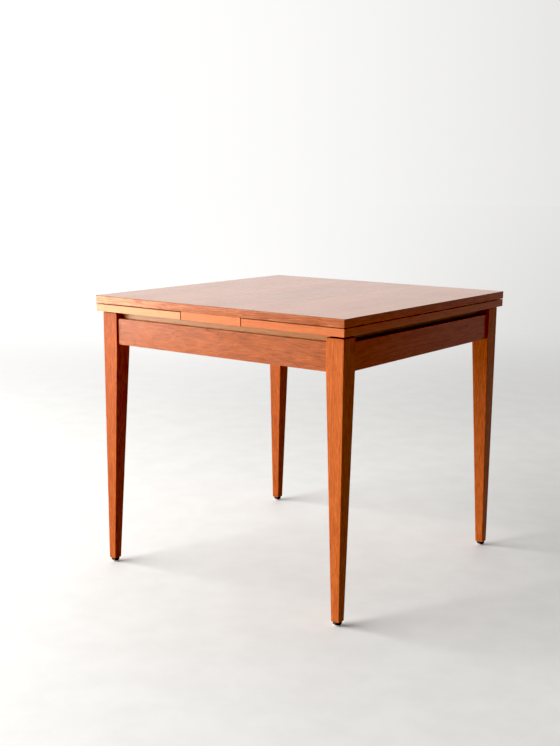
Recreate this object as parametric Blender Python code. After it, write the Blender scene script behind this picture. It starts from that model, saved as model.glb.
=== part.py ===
"""Square draw-leaf dining table, closed, standing on its own feet.

Metres, +Z up. The origin is on the floor below the middle of the top. The two leaves draw out along X. Front
is -Y and right is +X. There are four bodies: the frame, the loose top and the two leaves.
"""

from math import pi

import bmesh
import bpy
from mathutils import Vector

MM = 0.001
GAP = 0.3 * MM  # between pieces that touch on the real table

# Driving dimensions
TOP_LENGTH = 780 * MM
TOP_WIDTH = 800 * MM
TABLE_HEIGHT = 735 * MM
TOP_THICKNESS = 20 * MM
LEAF_THICKNESS = 19.5 * MM
LEAF_CLEARANCE = 1.5 * MM  # between the top's underside and a leaf
CENTRE_BOARD_LENGTH = 188 * MM
SEAM = 1.5 * MM  # between the centre board and a leaf
VENEER = 0.8 * MM
LIPPING = 8 * MM
LIPPING_ARRIS = 0.6 * MM

LEG_SQUARE = 48.5 * MM
FOOT_SQUARE = 22.5 * MM
LEG_INSET_X = 10 * MM  # leg's outer face behind the edge of the top
LEG_INSET_Y = 15 * MM
LEG_TOP_DROP = 3 * MM  # leg's top below the leaf
SHORT_LEG = "leg_front_right"
SHORT_LEG_TOP_DROP = 6 * MM
LEG_ARRIS = 1 * MM
GLIDE_HEIGHT = 11 * MM

APRON_TOP = 676 * MM
APRON_DEPTH = 68 * MM
APRON_THICKNESS = 18 * MM
APRON_RECESS = 5 * MM  # apron's face behind the leg's face
TENON_SHOULDER = 4 * MM
TENON_LENGTH = 23 * MM
CUT_PAST = 2 * MM  # how far a cutter runs past the face that it opens

SIDE_RAIL_THICKNESS = 19.7 * MM
SIDE_RAIL_BOTTOM = 640 * MM
CROSS_RAIL_BOTTOM = 632 * MM
CROSS_RAIL_INNER = 19 * MM  # from the middle of the table
CROSS_RAIL_THICKNESS = 20 * MM
HOUSING_DEPTH = 6 * MM
CORNER_BLOCK_BOTTOM = 610 * MM
CORNER_BLOCK_TOP = 637 * MM
CORNER_BLOCK_REACH = 62 * MM

BEARER_WIDTH = 20 * MM
RIGHT_BEARER_Y = 310 * MM  # middle of each of the right leaf's bearers
LEFT_BEARER_Y = 286 * MM
BATTEN_BACK = 347 * MM
BATTEN_FACE = 364 * MM
BATTEN_BOTTOM = 676.6 * MM
BATTEN_HALF_WIDTH = 322 * MM
BATTEN_ARRIS = 1 * MM
STOP_LENGTH = 10 * MM
STOP_BOTTOM = 660 * MM
BEARER_INNER_END = 346 * MM

PEG_Y = 150 * MM
PEG_RADIUS = 6 * MM
PEG_HOLE_RADIUS = 6.5 * MM
PEG_SOCKET_DEPTH = 12 * MM
TOP_LIFT = 26 * MM
WASHER_RADIUS = 14 * MM
WASHER_THICKNESS = 3 * MM
SCREW_RADIUS = 2.2 * MM
SCREW_LENGTH = 18 * MM

GLIDE_RADIUS = 11 * MM
GLIDE_CAP_HEIGHT = 4.2 * MM
NAIL_RADIUS = 1.5 * MM
NAIL_TOP = 28 * MM

# Levels and faces worked out from them
TOP_BOTTOM = TABLE_HEIGHT - TOP_THICKNESS
LEAF_TOP = TOP_BOTTOM - LEAF_CLEARANCE
LEAF_BOTTOM = LEAF_TOP - LEAF_THICKNESS
APRON_BOTTOM = APRON_TOP - APRON_DEPTH
HALF_LENGTH = TOP_LENGTH / 2
HALF_WIDTH = TOP_WIDTH / 2
LEAF_HALF_WIDTH = HALF_WIDTH - 1 * MM
LEAF_OUTER = HALF_LENGTH - GAP
LEAF_INNER = CENTRE_BOARD_LENGTH / 2 + SEAM
LEG_OUTER_X = HALF_LENGTH - LEG_INSET_X
LEG_OUTER_Y = HALF_WIDTH - LEG_INSET_Y
LEG_INNER_X = LEG_OUTER_X - LEG_SQUARE
LEG_INNER_Y = LEG_OUTER_Y - LEG_SQUARE
SIDE_APRON_FACE = LEG_OUTER_Y - APRON_RECESS
END_APRON_FACE = LEG_OUTER_X - APRON_RECESS
SIDE_APRON_BACK = SIDE_APRON_FACE - APRON_THICKNESS
END_APRON_BACK = END_APRON_FACE - APRON_THICKNESS
RAIL_FACE = SIDE_APRON_BACK - GAP
RAIL_BACK = RAIL_FACE - SIDE_RAIL_THICKNESS
RAIL_TOP = LEAF_BOTTOM - GAP
BEARER_BOTTOM = APRON_TOP + GAP
BEARER_TOP = LEAF_BOTTOM - GAP
CROSS_RAIL_TOP = APRON_TOP - GAP
CROSS_RAIL_OUTER = CROSS_RAIL_INNER + CROSS_RAIL_THICKNESS
WASHER_TOP = LEAF_BOTTOM - TOP_LIFT - 0.5 * MM

ROUND_STEPS = 20
SIDES = {"left": -1, "right": 1}
FACES = {"front": -1, "back": 1}


# Materials


def wood(name, colour, roughness):
    made = bpy.data.materials.new(name)
    made.use_nodes = True
    shader = made.node_tree.nodes["Principled BSDF"]
    shader.inputs["Base Color"].default_value = (*colour, 1)
    shader.inputs["Roughness"].default_value = roughness
    return made


def metal(name, colour, roughness):
    made = wood(name, colour, roughness)
    made.node_tree.nodes["Principled BSDF"].inputs["Metallic"].default_value = 1
    return made


# Making and joining shapes


def add_object(name, mesh_in_progress, finish, parent=None):
    """The finished mesh as an object with its origin at the middle of its box."""
    bmesh.ops.recalc_face_normals(mesh_in_progress, faces=mesh_in_progress.faces)
    corners = [vertex.co for vertex in mesh_in_progress.verts]
    low = Vector([min(corner[axis] for corner in corners) for axis in range(3)])
    high = Vector([max(corner[axis] for corner in corners) for axis in range(3)])
    middle = (low + high) / 2
    bmesh.ops.translate(mesh_in_progress, verts=mesh_in_progress.verts, vec=-middle)
    mesh = bpy.data.meshes.new(name)
    mesh_in_progress.to_mesh(mesh)
    mesh_in_progress.free()
    made = bpy.data.objects.new(name, mesh)
    made.location = middle
    if finish:
        mesh.materials.append(finish)
    bpy.context.scene.collection.objects.link(made)
    if parent:
        made.parent = parent
        made.matrix_parent_inverse = parent.matrix_world.inverted()
    return made


def carriage(name, place):
    """An empty on a joint's axis: the pieces parented to it move together."""
    made = bpy.data.objects.new(name, None)
    made.location = place
    made.empty_display_size = 0.05
    bpy.context.scene.collection.objects.link(made)
    bpy.context.view_layer.update()
    return made


def prism(outline, bottom, top):
    """A closed outline in X and Y, extruded upwards."""
    shape = bmesh.new()
    face = shape.faces.new([shape.verts.new((x, y, bottom)) for x, y in outline])
    raised = bmesh.ops.extrude_face_region(shape, geom=[face])["geom"]
    moved = [item for item in raised if isinstance(item, bmesh.types.BMVert)]
    bmesh.ops.translate(shape, verts=moved, vec=(0, 0, top - bottom))
    return shape


def block(low, high):
    """A box between two corners, given in any order."""
    (x0, x1), (y0, y1), (z0, z1) = [sorted(pair) for pair in zip(low, high)]
    return prism([(x0, y0), (x1, y0), (x1, y1), (x0, y1)], z0, z1)


def turned(profile, x, y):
    """A (radius, height) profile turned about the vertical line through x, y."""
    shape = bmesh.new()
    points = [shape.verts.new((radius, 0, height)) for radius, height in profile]
    edges = [shape.edges.new(pair) for pair in zip(points, points[1:])]
    bmesh.ops.spin(
        shape,
        geom=points + edges,
        cent=(0, 0, 0),
        axis=(0, 0, 1),
        dvec=(0, 0, 0),
        angle=2 * pi,
        steps=ROUND_STEPS,
        use_merge=True,
    )
    bmesh.ops.remove_doubles(shape, verts=shape.verts, dist=0.001 * MM)
    bmesh.ops.translate(shape, verts=shape.verts, vec=(x, y, 0))
    return shape


def cylinder(radius, bottom, top):
    """The profile of a plain cylinder, for turning."""
    return [(0, bottom), (radius, bottom), (radius, top), (0, top)]


def cut(target, shape):
    """Takes a shape out of an object with an exact Boolean."""
    cutter = add_object(target.name + "_cutter", shape, None)
    cutter.hide_render = True
    cutter.display_type = "WIRE"
    modifier = target.modifiers.new("cut", "BOOLEAN")
    modifier.operation = "DIFFERENCE"
    modifier.solver = "EXACT"
    modifier.object = cutter


def ease(target, width):
    """Takes the sharpness off an object's arrises."""
    modifier = target.modifiers.new("ease", "BEVEL")
    modifier.width = width
    modifier.segments = 1
    modifier.limit_method = "ANGLE"
    modifier.angle_limit = 0.5
    return target


def shade_round(target):
    target.data.shade_smooth()
    target.data.set_sharp_from_angle(angle=0.7)
    return target


# Veneered panels with solid lippings


def veneered_panel(name, low, high, finish, parent):
    """A core inside the lippings, under a sheet of veneer that covers them."""
    (x0, y0, z0), (x1, y1, z1) = low, high
    shape = block((x0, y0, z1 - VENEER), high)
    below = min(shape.faces, key=lambda face: face.calc_center_median().z)
    bmesh.ops.inset_region(shape, faces=[below], thickness=LIPPING + GAP, use_even_offset=True)
    core = bmesh.ops.extrude_face_region(shape, geom=[below])["geom"]
    moved = [item for item in core if isinstance(item, bmesh.types.BMVert)]
    bmesh.ops.translate(shape, verts=moved, vec=(0, 0, z0 - (z1 - VENEER)))
    bmesh.ops.delete(shape, geom=[below], context="FACES_ONLY")
    return add_object(name, shape, finish, parent)


def lippings(prefix, names, low, high, finish, parent):
    """Four strips round a panel, mitred where they meet. The names go -Y, +Y, -X, +X."""
    (x0, y0, z0), (x1, y1, z1) = low, high
    trim = GAP * 0.75  # off each end, for the gap across a mitre
    inset = LIPPING + trim
    along_x = [(x0 + trim, y0), (x1 - trim, y0), (x1 - inset, y0 + LIPPING), (x0 + inset, y0 + LIPPING)]
    along_y = [(x0, y0 + trim), (x0 + LIPPING, y0 + inset), (x0 + LIPPING, y1 - inset), (x0, y1 - trim)]
    outlines = [
        along_x,
        [(x, y0 + y1 - y) for x, y in reversed(along_x)],
        along_y,
        [(x0 + x1 - x, y) for x, y in reversed(along_y)],
    ]
    for name, outline in zip(names, outlines):
        strip = prism(outline, z0, z1 - VENEER - GAP)
        ease(add_object(f"{prefix}_lipping_{name}", strip, finish, parent), LIPPING_ARRIS)


# The frame


def make_leg(name, side_x, side_y, finish):
    """Square above the aprons' lower edge; below it the two inner faces taper to the foot."""
    top = LEAF_BOTTOM - (SHORT_LEG_TOP_DROP if name == SHORT_LEG else LEG_TOP_DROP)
    outer_x, outer_y = side_x * LEG_OUTER_X, side_y * LEG_OUTER_Y
    inner = (side_x * LEG_INNER_X, side_y * LEG_INNER_Y, APRON_BOTTOM)
    shape = block(inner, (outer_x, outer_y, top))
    below = min(shape.faces, key=lambda face: face.calc_center_median().z)
    lowered = bmesh.ops.extrude_face_region(shape, geom=[below])["geom"]
    bmesh.ops.delete(shape, geom=[below], context="FACES_ONLY")
    for vertex in [item for item in lowered if isinstance(item, bmesh.types.BMVert)]:
        vertex.co.z = GLIDE_HEIGHT
        if abs(vertex.co.x) < LEG_OUTER_X - FOOT_SQUARE:
            vertex.co.x = side_x * (LEG_OUTER_X - FOOT_SQUARE)
        if abs(vertex.co.y) < LEG_OUTER_Y - FOOT_SQUARE:
            vertex.co.y = side_y * (LEG_OUTER_Y - FOOT_SQUARE)
    leg = ease(add_object(name, shape, finish), LEG_ARRIS)
    cheek = TENON_SHOULDER - GAP
    deep = TENON_LENGTH + GAP
    low, high = APRON_BOTTOM + cheek, APRON_TOP - cheek
    inside_x, inside_y = LEG_INNER_X - CUT_PAST, LEG_INNER_Y - CUT_PAST
    side_mortise = block(
        (side_x * inside_x, side_y * (SIDE_APRON_BACK + cheek), low),
        (side_x * (LEG_INNER_X + deep), side_y * (SIDE_APRON_FACE - cheek), high),
    )
    end_mortise = block(
        (side_x * (END_APRON_BACK + cheek), side_y * inside_y, low),
        (side_x * (END_APRON_FACE - cheek), side_y * (LEG_INNER_Y + deep), high),
    )
    cut(leg, side_mortise)
    cut(leg, end_mortise)
    cut(leg, turned(cylinder(NAIL_RADIUS + GAP, 0, NAIL_TOP), *foot_centre(side_x, side_y)))


def foot_centre(side_x, side_y):
    return side_x * (LEG_OUTER_X - FOOT_SQUARE / 2), side_y * (LEG_OUTER_Y - FOOT_SQUARE / 2)


def make_apron(name, low, high, length_axis, finish):
    """A board with a tenon at each end."""
    shape = block(low, high)
    for end in [face for face in shape.faces if abs(face.normal[length_axis]) > 0.9]:
        outwards = face_direction(end, length_axis)
        bmesh.ops.inset_region(shape, faces=[end], thickness=TENON_SHOULDER, use_even_offset=True)
        pulled = bmesh.ops.extrude_face_region(shape, geom=[end])["geom"]
        moved = [item for item in pulled if isinstance(item, bmesh.types.BMVert)]
        bmesh.ops.translate(shape, verts=moved, vec=outwards * (TENON_LENGTH - GAP))
        bmesh.ops.delete(shape, geom=[end], context="FACES_ONLY")
    return add_object(name, shape, finish)


def face_direction(face, axis):
    """The unit vector along an axis that points from the middle of the table to the face."""
    direction = Vector((0, 0, 0))
    direction[axis] = 1 if face.calc_center_median()[axis] > 0 else -1
    return direction


def make_side_rail(name, side_y, finish):
    """A rail between the legs that carries the centre board, with a housing for each cross rail."""
    reach = LEG_INNER_X - GAP
    low, high = (-reach, side_y * RAIL_BACK, SIDE_RAIL_BOTTOM), (reach, side_y * RAIL_FACE, RAIL_TOP)
    rail = add_object(name, block(low, high), finish)
    for side_x in SIDES.values():
        housing = block(
            (side_x * (CROSS_RAIL_INNER - GAP), side_y * (RAIL_BACK - CUT_PAST), SIDE_RAIL_BOTTOM - CUT_PAST),
            (side_x * (CROSS_RAIL_OUTER + GAP), side_y * (RAIL_BACK + HOUSING_DEPTH), CROSS_RAIL_TOP + GAP),
        )
        cut(rail, housing)


def make_corner_block(name, side_x, side_y, finish):
    """A glued block behind the leg, notched round the leg's inner corner."""
    face_x, face_y = END_APRON_BACK - GAP, SIDE_APRON_BACK - GAP
    leg_x, leg_y = LEG_INNER_X - GAP, LEG_INNER_Y - GAP
    outline = [
        (face_x, leg_y - CORNER_BLOCK_REACH),
        (face_x, leg_y),
        (leg_x, leg_y),
        (leg_x, face_y),
        (leg_x - CORNER_BLOCK_REACH, face_y),
    ]
    placed = [(side_x * x, side_y * y) for x, y in outline]
    return add_object(name, prism(placed, CORNER_BLOCK_BOTTOM, CORNER_BLOCK_TOP), finish)


def make_centre_board(finish, lipping_finish):
    """The fixed board between the leaves, with a hole for each peg of the top and a lipping at each end."""
    half = CENTRE_BOARD_LENGTH / 2
    inside = LEAF_HALF_WIDTH - LIPPING
    top = TOP_BOTTOM - GAP
    shape = block((-half, GAP - inside, LEAF_BOTTOM), (half, inside - GAP, top))
    board = add_object("centre_board", shape, finish)
    for face_name, side_y in FACES.items():
        hole = cylinder(PEG_HOLE_RADIUS, LEAF_BOTTOM - CUT_PAST, top + CUT_PAST)
        cut(board, turned(hole, 0, side_y * PEG_Y))
        strip = block((-half, side_y * inside, LEAF_BOTTOM), (half, side_y * LEAF_HALF_WIDTH, top))
        ease(add_object(f"centre_board_lipping_{face_name}", strip, lipping_finish), LIPPING_ARRIS)


def make_glide(suffix, side_x, side_y, rubber, steel):
    """A soft cushion under the foot and a pressed steel cap nailed through it."""
    x, y = foot_centre(side_x, side_y)
    bore = NAIL_RADIUS + GAP
    low, high = GLIDE_CAP_HEIGHT + GAP, GLIDE_HEIGHT - GAP
    cushion = [
        (bore, low),
        (GLIDE_RADIUS - 1.2 * MM, low),
        (GLIDE_RADIUS, low + 1.6 * MM),
        (GLIDE_RADIUS, high - 1.2 * MM),
        (GLIDE_RADIUS - 0.8 * MM, high),
        (bore, high),
        (bore, low),
    ]
    cap = [
        (0, 0),
        (6.5 * MM, 0),
        (8.8 * MM, 0.7 * MM),
        (10.2 * MM, 2.2 * MM),
        (10.4 * MM, GLIDE_CAP_HEIGHT - 0.4 * MM),
        (10.0 * MM, GLIDE_CAP_HEIGHT),
        (NAIL_RADIUS, GLIDE_CAP_HEIGHT),
        (NAIL_RADIUS, NAIL_TOP - 3 * MM),
        (0, NAIL_TOP - 0.5 * MM),
    ]
    shade_round(add_object(f"glide_cushion_{suffix}", turned(cushion, x, y), rubber))
    shade_round(add_object(f"glide_cap_{suffix}", turned(cap, x, y), steel))


def make_frame(teak, beech, rubber, steel):
    for face_name, side_y in FACES.items():
        for side_name, side_x in SIDES.items():
            suffix = f"{face_name}_{side_name}"
            make_leg(f"leg_{suffix}", side_x, side_y, teak)
            make_corner_block(f"corner_block_{suffix}", side_x, side_y, beech)
            make_glide(suffix, side_x, side_y, rubber, steel)
        reach = LEG_INNER_X - GAP
        low = (-reach, side_y * SIDE_APRON_FACE, APRON_BOTTOM)
        high = (reach, side_y * SIDE_APRON_BACK, APRON_TOP)
        make_apron(f"side_apron_{face_name}", low, high, 0, teak)
        make_side_rail(f"side_rail_{face_name}", side_y, beech)
    for side_name, side_x in SIDES.items():
        reach = LEG_INNER_Y - GAP
        low = (side_x * END_APRON_FACE, -reach, APRON_BOTTOM)
        high = (side_x * END_APRON_BACK, reach, APRON_TOP)
        make_apron(f"end_apron_{side_name}", low, high, 1, teak)
        reach = RAIL_BACK + HOUSING_DEPTH - GAP
        low = (side_x * CROSS_RAIL_INNER, -reach, CROSS_RAIL_BOTTOM)
        high = (side_x * CROSS_RAIL_OUTER, reach, CROSS_RAIL_TOP)
        add_object(f"cross_rail_{side_name}", block(low, high), beech)
    make_centre_board(beech, teak)


# The loose top, with the pegs that keep it in place


def make_top(veneer, teak, beech, steel):
    lift = carriage("top_lift", (0, 0, TOP_BOTTOM))
    low = (-HALF_LENGTH, -HALF_WIDTH, TOP_BOTTOM)
    high = (HALF_LENGTH, HALF_WIDTH, TABLE_HEIGHT)
    panel = veneered_panel("top_panel", low, high, veneer, lift)
    lippings("top", ("front", "back", "left", "right"), low, high, teak, lift)
    socket_top = TOP_BOTTOM + PEG_SOCKET_DEPTH
    for face_name, side_y in FACES.items():
        place = (0, side_y * PEG_Y)
        socket = cylinder(PEG_RADIUS + GAP, TOP_BOTTOM - CUT_PAST, socket_top)
        cut(panel, turned(socket, *place))
        make_guide_peg(face_name, place, socket_top - GAP, beech, steel, lift)


def make_guide_peg(face_name, place, peg_top, beech, steel, lift):
    """A peg fixed in the top, with a washer screwed under it so that the top can't be lifted right off."""
    bore = SCREW_RADIUS + GAP
    peg_bottom = WASHER_TOP + GAP
    screw_top = WASHER_TOP + SCREW_LENGTH
    washer_bottom = WASHER_TOP - WASHER_THICKNESS
    head_top = washer_bottom - GAP
    peg = [
        (bore, peg_bottom),
        (PEG_RADIUS, peg_bottom),
        (PEG_RADIUS, peg_top),
        (0, peg_top),
        (0, screw_top),
        (bore, screw_top),
        (bore, peg_bottom),
    ]
    washer = [
        (bore, WASHER_TOP),
        (WASHER_RADIUS, WASHER_TOP),
        (WASHER_RADIUS, washer_bottom),
        (bore, washer_bottom),
        (bore, WASHER_TOP),
    ]
    screw = [
        (0, head_top - 2.6 * MM),
        (2.6 * MM, head_top - 2.2 * MM),
        (4.2 * MM, head_top - 0.8 * MM),
        (4.4 * MM, head_top),
        (SCREW_RADIUS, head_top),
        (SCREW_RADIUS, screw_top - 3 * MM),
        (0, screw_top - 0.5 * MM),
    ]
    shade_round(add_object(f"guide_peg_{face_name}", turned(peg, *place), beech, lift))
    shade_round(add_object(f"peg_washer_{face_name}", turned(washer, *place), steel, lift))
    shade_round(add_object(f"peg_screw_{face_name}", turned(screw, *place), steel, lift))


# The leaves


def make_leaf(side_name, side_x, bearer_y, veneer, teak, beech):
    """A leaf on two long bearers, with a batten by its outer edge and a stop block under each bearer."""
    body = f"leaf_{side_name}"
    draw = carriage(f"{body}_draw", (side_x * LEAF_OUTER, 0, LEAF_BOTTOM))
    nearest, farthest = sorted((side_x * LEAF_INNER, side_x * LEAF_OUTER))
    low = (nearest, -LEAF_HALF_WIDTH, LEAF_BOTTOM)
    high = (farthest, LEAF_HALF_WIDTH, LEAF_TOP)
    veneered_panel(f"{body}_panel", low, high, veneer, draw)
    ends = ("outer", "inner") if side_x < 0 else ("inner", "outer")
    lippings(body, ("front", "back", *ends), low, high, teak, draw)
    inner_end = -side_x * BEARER_INNER_END
    stop_face = -side_x * (BEARER_INNER_END - STOP_LENGTH)
    bearer_end = side_x * (BATTEN_BACK - GAP)
    for face_name, side_y in FACES.items():
        near = side_y * (bearer_y - BEARER_WIDTH / 2)
        far = side_y * (bearer_y + BEARER_WIDTH / 2)
        bearer = block((inner_end, near, BEARER_BOTTOM), (bearer_end, far, BEARER_TOP))
        stop = block((inner_end, near, STOP_BOTTOM), (stop_face, far, BEARER_BOTTOM - GAP))
        add_object(f"{body}_bearer_{face_name}", bearer, beech, draw)
        add_object(f"{body}_stop_block_{face_name}", stop, beech, draw)
    low = (side_x * BATTEN_BACK, -BATTEN_HALF_WIDTH, BATTEN_BOTTOM)
    high = (side_x * BATTEN_FACE, BATTEN_HALF_WIDTH, BEARER_TOP)
    ease(add_object(f"{body}_batten", block(low, high), beech, draw), BATTEN_ARRIS)


def main():
    for leftover in list(bpy.data.objects):
        bpy.data.objects.remove(leftover, do_unlink=True)
    teak = wood("teak_solid", (0.40, 0.13, 0.035), 0.38)
    veneer = wood("teak_veneer", (0.42, 0.16, 0.055), 0.30)
    beech = wood("beech", (0.55, 0.42, 0.25), 0.6)
    rubber = wood("black_rubber", (0.02, 0.02, 0.02), 0.6)
    steel = metal("steel", (0.6, 0.58, 0.55), 0.3)
    make_frame(teak, beech, rubber, steel)
    make_top(veneer, teak, beech, steel)
    make_leaf("left", -1, LEFT_BEARER_Y, veneer, teak, beech)
    make_leaf("right", 1, RIGHT_BEARER_Y, veneer, teak, beech)


main()
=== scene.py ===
"""The looks of the draw-leaf table: wood, metal, rubber and felt, with the camera and the light.

Metres, +Z up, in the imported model's frame: front is -Y, right is +X, and the floor is at 0.
"""

from math import cos, pi, radians, sin, tan
from random import Random

import bmesh
import bpy
from mathutils import Matrix, Vector


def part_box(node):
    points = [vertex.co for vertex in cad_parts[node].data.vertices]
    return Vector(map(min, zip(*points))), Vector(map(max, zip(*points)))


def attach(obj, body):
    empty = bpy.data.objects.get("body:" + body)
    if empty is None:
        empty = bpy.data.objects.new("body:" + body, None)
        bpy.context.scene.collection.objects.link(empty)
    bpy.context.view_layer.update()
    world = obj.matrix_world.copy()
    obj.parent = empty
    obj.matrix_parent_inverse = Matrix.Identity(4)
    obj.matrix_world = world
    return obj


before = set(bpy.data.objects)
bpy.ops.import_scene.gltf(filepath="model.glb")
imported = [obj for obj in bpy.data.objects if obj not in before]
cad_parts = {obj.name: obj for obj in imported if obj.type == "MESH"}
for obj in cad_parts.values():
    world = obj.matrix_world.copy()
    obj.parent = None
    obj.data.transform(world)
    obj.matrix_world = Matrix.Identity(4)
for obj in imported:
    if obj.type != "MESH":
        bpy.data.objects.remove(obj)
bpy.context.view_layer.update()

MM = 0.001
FACES = {"front": -1, "back": 1}
SIDES = {"left": -1, "right": 1}


def rgb(red, green, blue):
    """A linear colour, as a socket takes it."""
    return (red, green, blue, 1.0)


# Camera, fitted to the table's corners
CAMERA_PLACE = (1.7219, -2.4295, 1.0439)
CAMERA_YAW = radians(36.611)
CAMERA_PITCH = radians(-12.139)
CAMERA_ROLL = radians(0.405)
CAMERA_LENS = 53.2  # mm
SENSOR_WIDTH = 36  # mm
CAMERA_SHIFT_Y = 0.0536

# Light: two tall windows side by side at the camera's left; only the one further left shows in the varnish
WINDOWS = {  # name: (azimuth from -Y towards -X, half its width as an angle, shows in gloss)
    "window_left": (radians(60), radians(19), True),
    "window_front": (radians(31), radians(11), False),
}
WINDOW_DISTANCE = 4.5
WINDOW_BOTTOM = 0.1
WINDOW_HEIGHT = 3.6
WINDOW_RADIANCE = 9.0
DAYLIGHT = (1.0, 0.985, 0.96)
BLACK_LEVEL = 0.02  # taken off by the view's curve, as a camera's contrast does

# How bright the room is by direction. Each is (from, to, brightness at from, brightness at to) for the
# part of the direction that the comment names.
BACK_WALL = (-0.3, 0.75, 0.10, 0.88)  # y
BACK_WALL_SHADE = (-0.2, 0.7, 1.0, 0.15)  # x; multiplies the back wall
LEFT_WALL = (-0.1, -0.95, 0.0, 0.60)  # x
FLOOR_LIGHT = (-1.0, 1.0, 0.62, 0.36)  # x
BELOW = (-0.02, -0.12, 0.0, 1.0)  # z; goes over from the walls to the floor
GLOSS_LIFT = (0.0, 0.36, 0.0, 0.80)  # x; the floor at the right shines more in the varnish
GLOSS_SHADE = (0.32, 0.53, 1.0, 0.03)  # x; and further right the room is dark
BACKDROP = (-0.78, -0.15, 1.04, 0.70)  # x
BACKDROP_COLOUR = rgb(1.0, 0.995, 0.985)

FLOOR_RADIUS = 40
FLOOR_SEGMENTS = 96
FLOOR_PAINTS = (rgb(0.86, 0.87, 0.87), rgb(0.90, 0.91, 0.91))
FLOOR_FADE = (1.3, 5.0)  # the painted floor goes over into an even glow between these radii


# Node trees


class Graph:
    """Adds nodes to a tree. add returns the node, and most others the output that the next call takes."""

    def __init__(self, tree):
        self.tree = tree

    def add(self, kind, inputs=None, **settings):
        node = self.tree.nodes.new(kind)
        for name, value in settings.items():
            setattr(node, name, value)
        for name, value in (inputs or {}).items():
            self.feed(node.inputs[name], value)
        return node

    def feed(self, socket, value):
        if isinstance(value, bpy.types.NodeSocket):
            self.tree.links.new(value, socket)
        else:
            socket.default_value = value

    def place(self):
        """Where the shaded point lies, in metres."""
        return self.add("ShaderNodeTexCoord").outputs["Object"]

    def math(self, operation, first, second=0.0, third=0.0):
        inputs = {0: first, 1: second, 2: third}
        return self.add("ShaderNodeMath", inputs, operation=operation).outputs[0]

    def vector(self, operation, first, second):
        return self.add("ShaderNodeVectorMath", {0: first, 1: second}, operation=operation).outputs[0]

    def stretch(self, vector, scales):
        return self.vector("MULTIPLY", vector, scales)

    def length(self, vector):
        return self.add("ShaderNodeVectorMath", {0: vector}, operation="LENGTH").outputs["Value"]

    def unit(self, vector):
        return self.add("ShaderNodeVectorMath", {0: vector}, operation="NORMALIZE").outputs[0]

    def split(self, vector):
        return self.add("ShaderNodeSeparateXYZ", {0: vector}).outputs

    def join(self, x, y, z):
        return self.add("ShaderNodeCombineXYZ", {0: x, 1: y, 2: z}).outputs[0]

    def noise(self, vector, detail, roughness=0.5, scale=1.0):
        inputs = {"Vector": vector, "Scale": scale, "Detail": detail, "Roughness": roughness}
        return self.add("ShaderNodeTexNoise", inputs).outputs["Fac"]

    def fit(self, value, low, high, new_low=0.0, new_high=1.0, kind="SMOOTHSTEP"):
        inputs = {"Value": value, "From Min": low, "From Max": high, "To Min": new_low, "To Max": new_high}
        return self.add("ShaderNodeMapRange", inputs, interpolation_type=kind).outputs[0]

    def blend(self, factor, first, second):
        node = self.add("ShaderNodeMix", data_type="RGBA", clamp_factor=True)
        self.feed(node.inputs[6], first)
        self.feed(node.inputs[7], second)
        self.feed(node.inputs[0], factor)
        return node.outputs[2]

    def bump(self, height, strength, distance):
        inputs = {"Height": height, "Strength": strength, "Distance": distance}
        return self.add("ShaderNodeBump", inputs).outputs[0]


def new_material(name):
    """An empty material, with its graph and its Principled shader."""
    made = bpy.data.materials.new(name)
    made.use_nodes = True
    return made, Graph(made.node_tree), made.node_tree.nodes["Principled BSDF"]


# Wood


class Wood:
    """One species and finish. streaks, figure and pores weigh its lines; relief is its pores' depth."""

    def __init__(self, pale, mid, dark, roughness, gloss=0.5, streaks=1.3, figure=1.0, pores=1.0, relief=0.2):
        self.pale = pale
        self.mid = mid
        self.dark = dark
        self.roughness = roughness
        self.gloss = gloss
        self.streaks = streaks
        self.figure = figure
        self.pores = pores
        self.relief = relief


TEAK = Wood(
    rgb(0.64, 0.19, 0.055), rgb(0.46, 0.112, 0.028), rgb(0.17, 0.040, 0.011), roughness=0.29, streaks=1.8
)
# A redder, less yellow copy of teak for the faces on the room's dark right side: painted shade
SHADED_SIDE_TEAK = Wood(
    rgb(0.65, 0.155, 0.045), rgb(0.49, 0.085, 0.023), rgb(0.19, 0.034, 0.009), roughness=0.32, gloss=0.4
)
OILED_TEAK = Wood(
    rgb(0.66, 0.185, 0.05),
    rgb(0.48, 0.106, 0.024),
    rgb(0.17, 0.036, 0.009),
    roughness=0.40,
    gloss=0.22,
    streaks=1.2,
)
# Teak with a pale peach tone; the front top lipping's left end is pulled towards it as a painted highlight of
# the window's glare
TWO_TONE_AND_GLARE_TEAK = Wood(rgb(0.80, 0.36, 0.15), TEAK.mid, TEAK.dark, roughness=0.29, streaks=1.8)
ORANGE_TEAK = Wood(rgb(0.74, 0.23, 0.07), rgb(0.60, 0.150, 0.04), rgb(0.34, 0.075, 0.02), roughness=0.29)
PALE_TEAK = Wood(rgb(0.72, 0.34, 0.14), rgb(0.62, 0.26, 0.095), rgb(0.40, 0.13, 0.04), roughness=0.29)
# A paler, pinker wood for the front side rail. Its pale pink tone, brought out most at the rail's left end,
# is a painted highlight of the window's glare
RAIL_TEAK_AND_GLARE = Wood(rgb(0.74, 0.42, 0.22), rgb(0.62, 0.24, 0.075), rgb(0.40, 0.13, 0.04), roughness=0.29)
TEAK_VENEER = Wood(
    rgb(0.60, 0.21, 0.08),
    rgb(0.48, 0.145, 0.05),
    rgb(0.22, 0.055, 0.018),
    roughness=0.24,
    streaks=0.25,
    relief=0.002,
)
BEECH = Wood(
    rgb(0.78, 0.50, 0.23),
    rgb(0.68, 0.41, 0.17),
    rgb(0.48, 0.27, 0.10),
    roughness=0.45,
    figure=0.5,
    pores=0.45,
)
# A darker, greyer beech for the battens, which sit back in the dark gap over the end aprons: painted shade
SHADED_BEECH = Wood(
    rgb(0.40, 0.26, 0.13),
    rgb(0.30, 0.19, 0.085),
    rgb(0.18, 0.10, 0.045),
    roughness=0.55,
    gloss=0.2,
    figure=0.6,
)
BLIND_SIDE = rgb(0.30, 0.155, 0.075)  # the dull veneer under a panel

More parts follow.
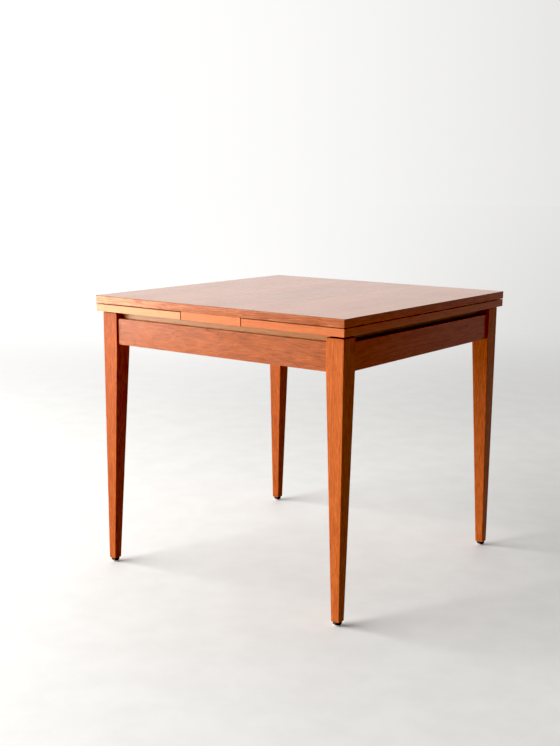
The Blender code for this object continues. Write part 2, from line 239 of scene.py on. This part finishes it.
# Noises stretched along the grain: (cells per metre along it, cells per metre across it, detail, roughness)
SLOW_BEND = (2.4, 6, 1.0, 0.5)
QUICK_BEND = (13, 24, 1.0, 0.5)
BANDS = (1.4, 24, 2.0, 0.5)
MOTTLE = (9, 60, 3.0, 0.6)
STREAKS = (26, 290, 3.0, 0.7)
FLECKS = (75, 460, 2.0, 0.6)
FIBRES = (20, 900, 2.0, 0.6)
PORES = (60, 1500, 1.0, 0.5)
SMEARS = (7, 11, 3.0, 0.6)
WORN_AND_LIT_PATCHES = (30, 60, 3.0, 0.6)

BAND_WEIGHT = 0.6
MOTTLE_WEIGHT = 0.5
FIBRE_WEIGHT = 0.5
PORE_EDGE = (0.60, 0.70)  # values of the pores' noise that are no pore and a full pore
PORES_IN_RINGS = 0.6  # the part of the pores' strength that follows the rings

SLOW_SHIFT = 30 * MM  # how far the lines of the wood wander
QUICK_SHIFT = 6 * MM
SHIFT_THROUGH = 0.8  # the same wander through the board's thickness, as a part of the one across it
LOG_TAPER = 0.016
RING_CHANGE = 0.7  # how quickly the rings' widths and strengths change, per ring
RING_UNEVENNESS = 1.3
RING_WEIGHT = 0.30
BESIDE_CENTRE = 1.3  # how far aside a board that isn't flat-sawn lies, by how far away it lies
BASE_DEPTH = 0.34  # depth runs from pale at 0 through mid to dark
MID_DEPTH = 0.5
DARK_DEPTH = 1.15
PORE_COVER = 0.55
SHEET_TONES = 0.16  # spread of tone between sheets of veneer

# Roughness: how much smears on the finish change it both ways, and what other things add to it
SOLID_SMEAR, VENEER_SMEAR = 0.04, 0.012
PORE_ROUGHNESS = 0.12
OPEN_PORES = 0.2  # the relief at which pores add all of that
WEAR_ROUGHNESS = 0.12
END_ROUGHNESS = 0.2
UNDERSIDE_ROUGHNESS = 0.35

WEAR_AND_HIGHLIGHT_NEAR, WEAR_AND_HIGHLIGHT_FAR = 0.5 * MM, 2.5 * MM  # from an arris: full wear and painted highlight, and none
WEAR_AND_HIGHLIGHT_FADE = 0.35
END_SHADE = 0.75
UNDERSIDE_COVER = 0.75
PORE_HEIGHT = -0.7
FIBRE_HEIGHT = 0.5
BUMP_DEPTH = 0.1 * MM


class Board:
    """How one piece lies in its log, and what is special in it.

    tone darkens the wood, and slope darkens it towards the grain's positive end: painted shade where the
    windows' light falls off. A flat-sawn board lies over the log's centre, and others lie beside it. figure
    weighs all the lines but the flecks; rings, bands, mottle and flecks weigh one kind each. bend is how far
    the lines wander. A knot, which bends the lines round it, and a mark, which darkens the wood, are (place
    along and across the board, spread along and across it, height). sheets is the number of sheets of veneer,
    0 for solid wood.
    """

    def __init__(
        self,
        name,
        wood,
        tone=0.0,
        slope=0.0,
        flat_sawn=False,
        figure=1.0,
        rings=1.0,
        bands=1.0,
        mottle=1.0,
        flecks=0.0,
        bend=1.0,
        knots=(),
        marks=(),
        sheets=0,
    ):
        random = Random(name)
        self.wood = wood
        self.tone = tone
        self.slope = slope
        self.figure = figure * wood.figure
        self.rings = rings
        self.bands = bands
        self.mottle = mottle
        self.flecks = flecks
        self.bend = bend
        self.knots = knots
        self.marks = marks
        low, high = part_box(name)
        self.centre = (low + high) / 2
        size = high - low
        self.axes = sorted(range(3), key=lambda axis: -round(size[axis], 4))  # grain, width, thickness
        self.half = [size[axis] / 2 for axis in self.axes]
        self.sheet_width = size[self.axes[1]] / sheets if sheets else 0
        aside = random.uniform(-15, 15) * MM
        away = random.uniform(60, 95) * MM
        self.pith = (aside, away) if flat_sawn else (away * BESIDE_CENTRE, away)
        self.ring_width = random.uniform(3.2, 4.6) * MM
        self.start = [random.uniform(-4, 4) for _ in range(3)]


def grain_noise(graph, coordinates, kind):
    along, across, detail, roughness = kind
    return graph.noise(graph.stretch(coordinates, (along, across, across)), detail, roughness)


def board_coordinates(graph, board):
    """Object coordinates turned so that X runs along the grain, Y across the board and Z through it."""
    centred = graph.split(graph.vector("SUBTRACT", graph.place(), board.centre))
    return graph.join(*[centred[axis] for axis in board.axes])


def hills(graph, coordinates, places, base):
    """The base value with a smooth hill added at each (place, spread, height) on the board's face."""
    for place, spread, height in places:
        offset = graph.vector("SUBTRACT", coordinates, (*place, 0))
        distance = graph.length(graph.stretch(offset, (1 / spread[0], 1 / spread[1], 0)))
        square = graph.math("MULTIPLY", distance, distance)
        hill = graph.math("EXPONENT", graph.math("MULTIPLY", square, -1.0))
        base = graph.math("MULTIPLY_ADD", hill, height, base)
    return base


def bent(graph, coordinates, board):
    """The same coordinates with the bends of the log in them, and a swelling at each knot."""
    moved = graph.vector("ADD", coordinates, board.start)
    shift = 0.0
    for kind, size in ((SLOW_BEND, SLOW_SHIFT), (QUICK_BEND, QUICK_SHIFT)):
        centred = graph.math("SUBTRACT", grain_noise(graph, moved, kind), 0.5)
        shift = graph.math("MULTIPLY_ADD", centred, size * board.bend, shift)
    shift = hills(graph, coordinates, board.knots, shift)
    return graph.vector("ADD", moved, graph.join(0.0, shift, graph.math("MULTIPLY", shift, SHIFT_THROUGH)))


def ring_profile(graph, coordinates, board):
    """Pale early wood that darkens slowly and ends in a sharp dark line, ring after ring."""
    along, across, through = graph.split(graph.vector("SUBTRACT", coordinates, board.start))
    y = graph.math("SUBTRACT", across, board.pith[0])
    z = graph.math("SUBTRACT", through, board.pith[1])
    square = graph.math("ADD", graph.math("MULTIPLY", y, y), graph.math("MULTIPLY", z, z))
    radius = graph.math("MULTIPLY_ADD", along, LOG_TAPER, graph.math("SQRT", square))
    phase = graph.math("MULTIPLY", radius, 1 / board.ring_width)
    uneven = graph.noise(graph.join(phase, 0.0, 0.0), detail=1.0, scale=RING_CHANGE)
    part = graph.math("FRACT", graph.math("MULTIPLY_ADD", uneven, RING_UNEVENNESS, phase))
    line = graph.math("MULTIPLY", graph.fit(part, 0.2, 0.88), graph.fit(part, 0.92, 1.0, 1.0, 0.0))
    return graph.math("MULTIPLY", line, graph.fit(uneven, 0.3, 0.7, 0.3, 1.0))


def book_matched(graph, coordinates, board):
    """The coordinates folded at each joint between two sheets of veneer, and a tone for each sheet."""
    along, across, through = graph.split(coordinates)
    from_edge = graph.math("ADD", across, board.half[1])
    folded = graph.math("PINGPONG", from_edge, board.sheet_width)
    sheet = graph.math("FLOOR", graph.math("DIVIDE", from_edge, board.sheet_width))
    picked = graph.add("ShaderNodeTexWhiteNoise", {"W": sheet}, noise_dimensions="1D").outputs["Value"]
    tone = graph.math("MULTIPLY", graph.math("SUBTRACT", picked, 0.5), SHEET_TONES)
    return graph.join(along, folded, through), tone


def wood_colour(graph, coordinates, board):
    """Colour, pore mask and fibre height of one board."""
    wood, figure = board.wood, board.figure
    along = graph.split(coordinates)[0]
    tone = graph.math("MULTIPLY_ADD", along, board.slope / board.half[0], board.tone)
    tone = hills(graph, coordinates, board.marks, tone)
    if board.sheet_width:
        coordinates, sheet_tone = book_matched(graph, coordinates, board)
        tone = graph.math("ADD", sheet_tone, tone)
    lines = bent(graph, coordinates, board)
    rings = ring_profile(graph, lines, board)
    fibres = grain_noise(graph, lines, FIBRES)
    layers = [  # (noise, its weight)
        (grain_noise(graph, lines, BANDS), BAND_WEIGHT * figure * board.bands),
        (grain_noise(graph, lines, MOTTLE), MOTTLE_WEIGHT * figure * board.mottle),
        (grain_noise(graph, lines, STREAKS), wood.streaks * figure),
        (fibres, FIBRE_WEIGHT * wood.streaks * figure),
    ]
    if board.flecks:
        layers.append((grain_noise(graph, lines, FLECKS), board.flecks))
    depth = graph.math("ADD", tone, BASE_DEPTH)
    depth = graph.math("MULTIPLY_ADD", rings, RING_WEIGHT * figure * board.rings, depth)
    for noise, weight in layers:
        depth = graph.math("MULTIPLY_ADD", graph.math("SUBTRACT", noise, 0.5), weight, depth)
    pores = graph.fit(grain_noise(graph, lines, PORES), *PORE_EDGE)
    strength = graph.math("MULTIPLY_ADD", rings, PORES_IN_RINGS, 1 - PORES_IN_RINGS)
    pores = graph.math("MULTIPLY", pores, strength)
    colour = graph.blend(graph.fit(depth, 0.0, MID_DEPTH, kind="LINEAR"), wood.pale, wood.mid)
    colour = graph.blend(graph.fit(depth, MID_DEPTH, DARK_DEPTH, kind="LINEAR"), colour, wood.dark)
    colour = graph.blend(graph.math("MULTIPLY", pores, PORE_COVER * wood.pores), colour, wood.dark)
    return colour, pores, fibres


def edge_wear_and_highlight(graph, coordinates, board):
    """1 in patches along the arrises, where hands and chairs rub them and where a painted highlight stands
    for the light that the arrises catch, falling to 0 a little way in.
    """
    x, y, z = [
        graph.math("SUBTRACT", half, graph.math("ABSOLUTE", place))
        for half, place in zip(board.half, graph.split(coordinates))
    ]
    least = graph.math("MINIMUM", graph.math("MINIMUM", x, y), z)
    most = graph.math("MAXIMUM", graph.math("MAXIMUM", x, y), z)
    total = graph.math("ADD", graph.math("ADD", x, y), z)
    from_edge = graph.math("SUBTRACT", graph.math("SUBTRACT", total, least), most)
    near = graph.fit(from_edge, WEAR_AND_HIGHLIGHT_NEAR, WEAR_AND_HIGHLIGHT_FAR, 1.0, 0.0)
    return graph.math("MULTIPLY", near, graph.fit(grain_noise(graph, coordinates, WORN_AND_LIT_PATCHES), 0.42, 0.6))


def end_grain(graph, board):
    """1 on the faces that cut across the grain."""
    normal = graph.split(graph.add("ShaderNodeTexCoord").outputs["Normal"])
    return graph.fit(graph.math("ABSOLUTE", normal[board.axes[0]]), 0.75, 0.95)


def wood_material(name, board):
    made, graph, shader = new_material(name)
    wood = board.wood
    coordinates = board_coordinates(graph, board)
    colour, pores, fibres = wood_colour(graph, coordinates, board)
    wear_and_highlight = edge_wear_and_highlight(graph, coordinates, board)
    ends = end_grain(graph, board)

    smears = grain_noise(graph, coordinates, SMEARS)
    smear = VENEER_SMEAR if board.sheet_width else SOLID_SMEAR
    roughness = graph.fit(smears, 0.3, 0.7, wood.roughness - smear, wood.roughness + smear, "LINEAR")
    openness = min(1, wood.relief / OPEN_PORES)
    roughness = graph.math("MULTIPLY_ADD", pores, PORE_ROUGHNESS * openness, roughness)
    roughness = graph.math("MULTIPLY_ADD", wear_and_highlight, WEAR_ROUGHNESS, roughness)
    roughness = graph.math("MULTIPLY_ADD", ends, END_ROUGHNESS, roughness)

    # paler along the arrises: worn finish, and a painted highlight of the light that the arrises catch
    colour = graph.blend(graph.math("MULTIPLY", wear_and_highlight, WEAR_AND_HIGHLIGHT_FADE), colour, wood.pale)
    colour = graph.blend(graph.math("MULTIPLY", ends, END_SHADE), colour, wood.dark)
    if board.sheet_width:
        under = graph.math("LESS_THAN", graph.split(coordinates)[2], 0.0)
        colour = graph.blend(graph.math("MULTIPLY", under, UNDERSIDE_COVER), colour, BLIND_SIDE)
        roughness = graph.math("MULTIPLY_ADD", under, UNDERSIDE_ROUGHNESS, roughness)

    height = graph.math("MULTIPLY", fibres, FIBRE_HEIGHT)
    height = graph.math("MULTIPLY_ADD", pores, PORE_HEIGHT * wood.pores, height)
    graph.feed(shader.inputs["Base Color"], colour)
    graph.feed(shader.inputs["Roughness"], roughness)
    graph.feed(shader.inputs["Normal"], graph.bump(height, wood.relief, BUMP_DEPTH))
    shader.inputs["Specular IOR Level"].default_value = wood.gloss
    return made


# Boards that differ from their neighbours in their wood, and boards darkened or lightened as painted shade
# and painted highlight
SPECIAL_BOARDS = {
    "top_panel": dict(
        marks=[
            ((-0.033, 0.096), (0.026, 0.004), 0.7),
            ((-0.110, 0.098), (0.060, 0.007), 0.3),
            ((-0.045, 0.013), (0.030, 0.006), 0.3),
            ((-0.197, 0.296), (0.030, 0.005), 0.5),
        ]
    ),
    "side_apron_front": dict(
        # darker towards the right: painted shade where the windows' light falls off along the front
        slope=0.08,
        figure=0.9,
        rings=0.6,
        mottle=0.7,
        bend=1.4,
        knots=[
            ((-0.165, 0.004), (0.030, 0.014), 0.007),
            ((-0.120, -0.012), (0.024, 0.010), -0.006),
            ((0.010, 0.016), (0.020, 0.009), 0.006),
        ],
    ),
    # The front side rail: lighter overall and lightest at its left end, as a painted highlight of the
    # window's glare
    "side_rail_front": dict(wood=RAIL_TEAK_AND_GLARE, tone=-0.12, slope=0.20, figure=0.5),
    # end_apron_right, top_lipping_right and leaf_right_lipping_outer face the dark right side and take the
    # redder teak of painted shade
    "end_apron_right": dict(wood=SHADED_SIDE_TEAK, tone=0.08, figure=0.7),
    # The leg tones even out how the windows light the legs: painted shade, most on the legs at the left,
    # least on the front right one
    "leg_back_left": dict(tone=0.28),
    "leg_front_left": dict(tone=0.18),
    "leg_front_right": dict(tone=0.02),
    "leg_back_right": dict(tone=0.14),
    # The front top lipping: lightest at its left end, by the mark below 0, and darker towards the right: a
    # painted highlight of the window's glare and painted shade where its light falls off
    "top_lipping_front": dict(
        wood=TWO_TONE_AND_GLARE_TEAK,
        tone=0.15,
        slope=0.07,
        figure=0.8,
        mottle=0.6,
        marks=[((-0.39, 0.0), (0.22, 0.1), -0.27)],
    ),
    "top_lipping_right": dict(wood=SHADED_SIDE_TEAK, tone=0.05),
    # The left leaf's front lipping: a paler wood, made paler still and lightest at its left end as a painted
    # highlight of the window's glare
    "leaf_left_lipping_front": dict(wood=PALE_TEAK, tone=-0.20, slope=0.08, figure=0.4),
    "centre_board_lipping_front": dict(wood=ORANGE_TEAK, tone=-0.08, figure=0.6),
    "leaf_right_lipping_front": dict(wood=ORANGE_TEAK, tone=0.1, figure=0.7),
    "leaf_right_lipping_outer": dict(wood=SHADED_SIDE_TEAK, tone=-0.12, figure=0.7),
}


def dress(node, **habits):
    """A new wood on a CAD node, in the slot that its mesh already has."""
    board = Board(node, **{**habits, **SPECIAL_BOARDS.get(node, {})})
    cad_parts[node].data.materials[0] = wood_material("wood_" + node, board)


# Other materials


NICKEL = rgb(0.95, 0.93, 0.90)
ZINC = rgb(0.58, 0.58, 0.56)
OLD_ZINC = rgb(0.55, 0.54, 0.50)
RUBBER = rgb(0.012, 0.011, 0.011)
DUSTY_RUBBER = rgb(0.06, 0.055, 0.05)
FELT = rgb(0.015, 0.05, 0.025)
FELT_NAP = rgb(0.06, 0.15, 0.08)
SCUFF_SHADE = 0.7


def metal_material(name, colour, roughness, metallic=1.0):
    made, graph, shader = new_material(name)
    scuffs = graph.noise(graph.place(), detail=4.0, roughness=0.6, scale=420)
    scuffed = rgb(*[part * SCUFF_SHADE for part in colour[:3]])
    graph.feed(shader.inputs["Base Color"], graph.blend(graph.fit(scuffs, 0.4, 0.7), colour, scuffed))
    graph.feed(shader.inputs["Roughness"], graph.fit(scuffs, 0.3, 0.7, roughness, roughness + 0.2))
    graph.feed(shader.inputs["Normal"], graph.bump(scuffs, strength=0.15, distance=BUMP_DEPTH))
    shader.inputs["Metallic"].default_value = metallic
    return made


def rubber_material(name):
    made, graph, shader = new_material(name)
    place = graph.place()
    grain = graph.noise(place, detail=4.0, roughness=0.6, scale=900)
    dust = graph.noise(place, detail=3.0, scale=130)
    graph.feed(shader.inputs["Base Color"], graph.blend(graph.fit(dust, 0.5, 0.75), RUBBER, DUSTY_RUBBER))
    graph.feed(shader.inputs["Roughness"], graph.fit(grain, 0.3, 0.7, 0.5, 0.75))
    graph.feed(shader.inputs["Normal"], graph.bump(grain, strength=0.3, distance=BUMP_DEPTH))
    return made


def felt_material(name):
    made, graph, shader = new_material(name)
    place = graph.place()
    fuzz = graph.noise(place, detail=5.0, roughness=0.7, scale=1400)
    patches = graph.noise(place, detail=3.0, scale=60)
    nap = graph.math("MULTIPLY_ADD", fuzz, 0.7, graph.math("MULTIPLY", patches, 0.3))
    graph.feed(shader.inputs["Base Color"], graph.blend(nap, FELT, FELT_NAP))
    graph.feed(shader.inputs["Normal"], graph.bump(fuzz, strength=0.6, distance=0.3 * MM))
    shader.inputs["Roughness"].default_value = 0.95
    shader.inputs["Sheen Weight"].default_value = 0.3
    return made


# Dressing the table


VENEER_SHEETS = {"top_panel": 6, "leaf_left_panel": 2, "leaf_right_panel": 2, "centre_board": 1}
BEECH_STARTS = ("side_rail", "cross_rail", "corner_block", "guide_peg")
BEECH_ENDS = ("bearer_front", "bearer_back", "stop_block_front", "stop_block_back")
SHARP_STARTS = ("side_", "end_", "cross_", "corner_")
ARRIS = 0.7 * MM
ARRIS_ANGLE = radians(40)


def soften_edges(node):
    """Rounds a sharp CAD piece's arrises, after joining the vertices that its file keeps apart."""
    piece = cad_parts[node]
    join = piece.modifiers.new("join", "WELD")
    join.merge_threshold = 0.01 * MM
    clean = piece.modifiers.new("clean", "DECIMATE")
    clean.decimate_type = "DISSOLVE"
    clean.angle_limit = radians(1)
    edge = piece.modifiers.new("edge", "BEVEL")
    edge.width = ARRIS
    edge.segments = 2
    edge.limit_method = "ANGLE"
    edge.angle_limit = ARRIS_ANGLE
    piece.modifiers.new("shade", "WEIGHTED_NORMAL").keep_sharp = False


def dress_all():
    for node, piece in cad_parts.items():
        if node.startswith("glide_cushion"):
            piece.data.materials[0] = rubber_material("rubber_" + node)
        elif node.startswith("glide_cap"):
            piece.data.materials[0] = metal_material("nickel_" + node, NICKEL, 0.38, metallic=0.7)
        elif node.startswith(("peg_washer", "peg_screw")):
            piece.data.materials[0] = metal_material("zinc_" + node, ZINC, 0.35)
        elif node.startswith(BEECH_STARTS) or node.endswith(BEECH_ENDS):
            dress(node, wood=BEECH)
        elif node.endswith("batten"):
            # the battens take the darkened beech of painted shade
            dress(node, wood=SHADED_BEECH)
        elif node in VENEER_SHEETS:
            sheets = VENEER_SHEETS[node]
            dress(node, wood=TEAK_VENEER, flat_sawn=True, bands=1.6, mottle=0.25, sheets=sheets)
        elif node.startswith("leg"):
            dress(node, wood=OILED_TEAK, tone=0.12, rings=0.6, bands=0.4, mottle=0.5, flecks=0.7, bend=0.3)
        elif "apron" in node:
            # the aprons' tone darkens them as painted shade of their recess under the top
            dress(node, wood=TEAK, tone=0.2, flat_sawn=True)
        else:
            dress(node, wood=TEAK)
        if node.startswith(SHARP_STARTS):
            soften_edges(node)


# Screws and felt


SCREW_PROFILE = [  # (radius, height) in mm, from the top of the head, whose underside is at 0, to the point
    (0.0, 2.6),
    (1.4, 2.5),
    (2.6, 2.1),
    (3.5, 1.3),
    (3.9, 0.5),
    (3.9, 0.0),
    (1.9, 0.0),
    (1.6, -9.0),
    (0.0, -12.0),
]
SCREW_SEGMENTS = 24
SLOT_LENGTH, SLOT_WIDTH, SLOT_DEPTH = 10 * MM, 0.9 * MM, 1.2 * MM
BLOCK_SCREWS = (0.27, 0.73)  # places across a corner block's slanting face, as parts of it
RAIL_SCREWS = (0.09, 0.36, 0.64, 0.91)  # places along a side rail
RAIL_SCREW_HEIGHT = 0.4  # as a part of the rail's height

FELT_WIDTH, FELT_THICKNESS = 12 * MM, 0.9 * MM
FELT_ROUNDING = 0.3 * MM
FELT_FROM_EDGE = 30 * MM
FELT_FROM_MIDDLE = 40 * MM


def link(name, data):
    made = bpy.data.objects.new(name, data)
    bpy.context.scene.collection.objects.link(made)
    return made


def finished_mesh(name, shape):
    mesh = bpy.data.meshes.new(name)
    shape.to_mesh(mesh)
    shape.free()
    return mesh


def box_mesh(name, low, high):
    shape = bmesh.new()
    bmesh.ops.create_cube(shape, size=1)
    low, high = Vector(low), Vector(high)
    for vertex in shape.verts:
        vertex.co = (low + high) / 2 + Vector(part * size for part, size in zip(vertex.co, high - low))
    return finished_mesh(name, shape)


def screw_mesh():
    """A slotted round-head wood screw, its head on top of the origin and its shank below."""
    shape = bmesh.new()
    points = [shape.verts.new((radius * MM, 0, height * MM)) for radius, height in SCREW_PROFILE]
    edges = [shape.edges.new(pair) for pair in zip(points, points[1:])]
    turned = dict(axis=(0, 0, 1), cent=(0, 0, 0), steps=SCREW_SEGMENTS, angle=2 * pi)
    bmesh.ops.spin(shape, geom=points + edges, **turned)
    bmesh.ops.remove_doubles(shape, verts=shape.verts, dist=0.001 * MM)
    bmesh.ops.recalc_face_normals(shape, faces=shape.faces)
    whole = link("whole_screw", finished_mesh("whole_screw", shape))

    top = SCREW_PROFILE[0][1] * MM
    low = (-SLOT_LENGTH / 2, -SLOT_WIDTH / 2, top - SLOT_DEPTH)
    high = (SLOT_LENGTH / 2, SLOT_WIDTH / 2, top + MM)
    cutter = link("slot", box_mesh("slot", low, high))
    slot = whole.modifiers.new("slot", "BOOLEAN")
    slot.object = cutter
    made = bpy.data.meshes.new_from_object(whole.evaluated_get(bpy.context.evaluated_depsgraph_get()))
    for scrap in (whole, cutter):
        bpy.data.objects.remove(scrap)
    made.set_sharp_from_angle(angle=radians(35))
    return made


def place_screw(name, mesh, place, outwards, turn):
    """A screw with its head's underside at place, on the frame."""
    screw = link(name, mesh)
    aim = Vector(outwards).to_track_quat("Z", "Y").to_matrix().to_4x4()
    screw.matrix_world = Matrix.Translation(place) @ aim @ Matrix.Rotation(turn, 4, "Z")
    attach(screw, "frame")


def between(start, end, part):
    return start + part * (end - start)


def add_screws():
    """Two through each corner block's slanting face, and four along the inside of each side rail."""
    mesh = screw_mesh()
    mesh.materials.append(metal_material("zinc_screw", OLD_ZINC, 0.33))
    random = Random("screws")
    for face, side_y in FACES.items():
        for side, side_x in SIDES.items():
            low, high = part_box(f"corner_block_{face}_{side}")
            near_x, far_x = sorted((low.x, high.x), key=abs)
            near_y, far_y = sorted((low.y, high.y), key=abs)
            for number, part in enumerate(BLOCK_SCREWS, 1):
                x = between(far_x, near_x, part)
                y = between(near_y, far_y, part)
                name = f"block_screw_{face}_{side}_{number}"
                place = Vector((x, y, (low.z + high.z) / 2))
                place_screw(name, mesh, place, (-side_x, -side_y, 0), random.uniform(0, pi))
        low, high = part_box(f"side_rail_{face}")
        inner_y = min((low.y, high.y), key=abs)
        z = between(low.z, high.z, RAIL_SCREW_HEIGHT)
        for number, part in enumerate(RAIL_SCREWS, 1):
            place = Vector((between(low.x, high.x, part), inner_y, z))
            place_screw(f"rail_screw_{face}_{number}", mesh, place, (0, -side_y, 0), random.uniform(0, pi))


def add_felt():
    """Thin strips glued under the loose top, so that the leaves don't scratch it."""
    low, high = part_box("top_panel")
    material = felt_material("felt")
    bottom = low.z - FELT_THICKNESS
    for side, side_x in SIDES.items():
        outer = side_x * (high.x - FELT_FROM_EDGE)
        left, right = sorted((outer, outer - side_x * FELT_WIDTH))
        for face, side_y in FACES.items():
            near, far = sorted((side_y * FELT_FROM_MIDDLE, side_y * (high.y - FELT_FROM_EDGE)))
            mesh = box_mesh("felt", (left, near, bottom), (right, far, low.z))
            mesh.materials.append(material)
            strip = link(f"felt_strip_{face}_{side}", mesh)
            edge = strip.modifiers.new("edge", "BEVEL")
            edge.width = FELT_ROUNDING
            edge.segments = 2
            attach(strip, "top")


# The studio


def backdrop(graph, direction):
    """How bright the pale backdrop looks in a direction: brightest on the windows' side."""
    return graph.fit(graph.split(graph.unit(direction))[0], *BACKDROP)


def make_floor():
    """A painted floor that goes over into the backdrop some way from the table."""
    shape = bmesh.new()
    bmesh.ops.create_circle(shape, cap_ends=True, segments=FLOOR_SEGMENTS, radius=FLOOR_RADIUS)
    floor = link("floor", finished_mesh("floor", shape))
    made, graph, shader = new_material("painted_floor")
    place = graph.place()
    paint = graph.noise(place, detail=4.0, roughness=0.6, scale=9)
    graph.feed(shader.inputs["Base Color"], graph.blend(graph.fit(paint, 0.3, 0.7), *FLOOR_PAINTS))
    shader.inputs["Roughness"].default_value = 0.6
    glow = graph.add("ShaderNodeEmission", {"Color": BACKDROP_COLOUR, "Strength": backdrop(graph, place)})
    far = graph.fit(graph.length(place), *FLOOR_FADE)
    both = graph.add("ShaderNodeMixShader", {0: far, 1: shader.outputs[0], 2: glow.outputs[0]})
    graph.feed(made.node_tree.nodes["Material Output"].inputs["Surface"], both.outputs[0])
    floor.data.materials.append(made)
    floor.visible_diffuse = False  # the room's light from below stands for the floor's
    floor.visible_glossy = False


def room_glow(graph, direction):
    """How bright the room is in a direction: white walls at the left and behind, a dark room at the right."""
    x, y, z = graph.split(graph.unit(direction))
    behind = graph.math("MULTIPLY", graph.fit(y, *BACK_WALL), graph.fit(x, *BACK_WALL_SHADE))
    walls = graph.math("ADD", behind, graph.fit(x, *LEFT_WALL))
    drop = graph.math("SUBTRACT", graph.fit(x, *FLOOR_LIGHT), walls)
    return graph.math("ADD", walls, graph.math("MULTIPLY", graph.fit(z, *BELOW), drop))


def gloss_shade(graph, direction):
    """What the room's brightness is multiplied by where it shows in the varnish."""
    x, y, z = graph.split(direction)
    lift = graph.math("MULTIPLY", graph.fit(x, *GLOSS_LIFT), graph.fit(z, *BELOW))
    return graph.math("MULTIPLY", graph.math("ADD", lift, 1.0), graph.fit(x, *GLOSS_SHADE))


def make_room_light():
    """The room lights the table and shows in its varnish. The camera sees the pale backdrop in its place."""
    world = bpy.data.worlds.new("room")
    bpy.context.scene.world = world
    world.use_nodes = True
    graph = Graph(world.node_tree)
    direction = graph.add("ShaderNodeTexCoord").outputs["Generated"]
    rays = graph.add("ShaderNodeLightPath").outputs
    shade = graph.math("SUBTRACT", gloss_shade(graph, direction), 1.0)
    shade = graph.math("MULTIPLY_ADD", rays["Is Glossy Ray"], shade, 1.0)
    light = world.node_tree.nodes["Background"]
    light.inputs["Color"].default_value = rgb(*DAYLIGHT)
    graph.feed(light.inputs["Strength"], graph.math("MULTIPLY", room_glow(graph, direction), shade))
    strength = backdrop(graph, direction)
    seen = graph.add("ShaderNodeBackground", {"Color": BACKDROP_COLOUR, "Strength": strength})
    inputs = {0: rays["Is Camera Ray"], 1: light.outputs[0], 2: seen.outputs[0]}
    both = graph.add("ShaderNodeMixShader", inputs)
    graph.feed(world.node_tree.nodes["World Output"].inputs["Surface"], both.outputs[0])


def make_window(name, azimuth, half_angle, shows_in_gloss):
    data = bpy.data.lights.new(name, "AREA")
    data.shape = "RECTANGLE"
    data.size = 2 * WINDOW_DISTANCE * tan(half_angle)
    data.size_y = WINDOW_HEIGHT
    data.energy = WINDOW_RADIANCE * pi * data.size * data.size_y
    data.color = DAYLIGHT
    window = link(name, data)
    towards = Vector((-sin(azimuth), -cos(azimuth), 0))
    window.location = towards * WINDOW_DISTANCE + Vector((0, 0, WINDOW_BOTTOM + WINDOW_HEIGHT / 2))
    window.rotation_euler = towards.to_track_quat("Z", "Y").to_euler()
    window.visible_glossy = shows_in_gloss


def set_contrast():
    """The plain view transform, with a little contrast in the darks."""
    view = bpy.context.scene.view_settings
    view.view_transform = "Standard"
    view.use_curve_mapping = True
    view.curve_mapping.black_level = (BLACK_LEVEL,) * 3
    view.curve_mapping.update()


def make_camera():
    data = bpy.data.cameras.new("camera")
    data.lens = CAMERA_LENS
    data.sensor_width = SENSOR_WIDTH
    data.shift_y = CAMERA_SHIFT_Y
    camera = link("camera", data)
    turn = Matrix.Rotation(CAMERA_YAW, 4, "Z")
    tilt = Matrix.Rotation(pi / 2 + CAMERA_PITCH, 4, "X")
    roll = Matrix.Rotation(CAMERA_ROLL, 4, "Z")
    camera.matrix_world = Matrix.Translation(CAMERA_PLACE) @ turn @ tilt @ roll
    bpy.context.scene.camera = camera


set_contrast()
make_camera()
dress_all()
add_screws()
add_felt()
make_floor()
make_room_light()
for window_name, placing in WINDOWS.items():
    make_window(window_name, *placing)
